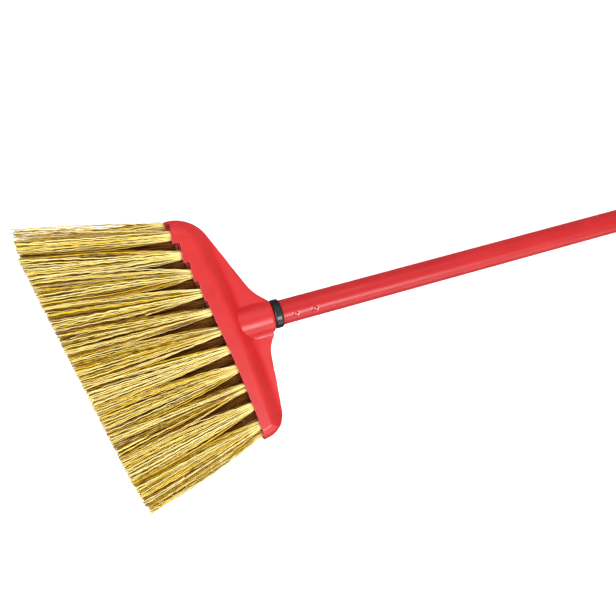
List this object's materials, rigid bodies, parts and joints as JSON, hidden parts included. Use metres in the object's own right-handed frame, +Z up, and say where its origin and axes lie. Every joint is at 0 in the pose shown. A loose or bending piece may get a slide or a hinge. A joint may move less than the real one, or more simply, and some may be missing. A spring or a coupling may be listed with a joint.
{
  "type": "broom",
  "caption": "Angled floor broom: a moulded head with staggered bristle tufts that fan out to a slanted sweep, on a coated tube handle that screws out of the head's socket.",
  "frame": {"origin": "middle of the broom's footprint on the floor, where it lies on its back on its bristle tips and the far end of the tube", "axes": "+X runs along the handle from the head to the end cap, within about a degree; +Y across the sweep towards its long end; +Z up out of the front face of the head"},
  "size_m": [1.4882, 0.2976, 0.0582],
  "materials": {
    "head_plastic": "moulded, satin",
    "bristle": "crimped filament",
    "staple_wire": "plain wire",
    "tip_plastic": "moulded, glossy",
    "tube_coat": "smooth coat",
    "cap_plastic": "moulded, satin"
  },
  "bodies": {
    "head": {"head_block": "head_plastic", "tuft_staples": "staple_wire", "tuft_front_01": "bristle", "tuft_front_02": "bristle", "tuft_front_03": "bristle", "tuft_front_04": "bristle", "tuft_front_05": "bristle", "tuft_front_06": "bristle", "tuft_front_07": "bristle", "tuft_front_08": "bristle", "tuft_front_09": "bristle", "tuft_front_10": "bristle", "tuft_front_11": "bristle", "tuft_second_01": "bristle", "tuft_second_02": "bristle", "tuft_second_03": "bristle", "tuft_second_04": "bristle", "tuft_second_05": "bristle", "tuft_second_06": "bristle", "tuft_second_07": "bristle", "tuft_second_08": "bristle", "tuft_second_09": "bristle", "tuft_second_10": "bristle", "tuft_second_11": "bristle", "tuft_second_12": "bristle", "tuft_third_01": "bristle", "tuft_third_02": "bristle", "tuft_third_03": "bristle", "tuft_third_04": "bristle", "tuft_third_05": "bristle", "tuft_third_06": "bristle", "tuft_third_07": "bristle", "tuft_third_08": "bristle", "tuft_third_09": "bristle", "tuft_third_10": "bristle", "tuft_third_11": "bristle", "tuft_back_01": "bristle", "tuft_back_02": "bristle", "tuft_back_03": "bristle", "tuft_back_04": "bristle", "tuft_back_05": "bristle", "tuft_back_06": "bristle", "tuft_back_07": "bristle", "tuft_back_08": "bristle", "tuft_back_09": "bristle", "tuft_back_10": "bristle", "tuft_back_11": "bristle", "tuft_back_12": "bristle"},
    "handle": {"threaded_tip": "tip_plastic", "handle_tube": "tube_coat", "end_cap": "cap_plastic"}
  },
  "joints": [
    {"name": "handle_unscrew", "type": "slide", "parent": "head", "child": "handle", "axis": [0.9999, 0, -0.0112], "range_m": [0, 0.034]}
  ]
}
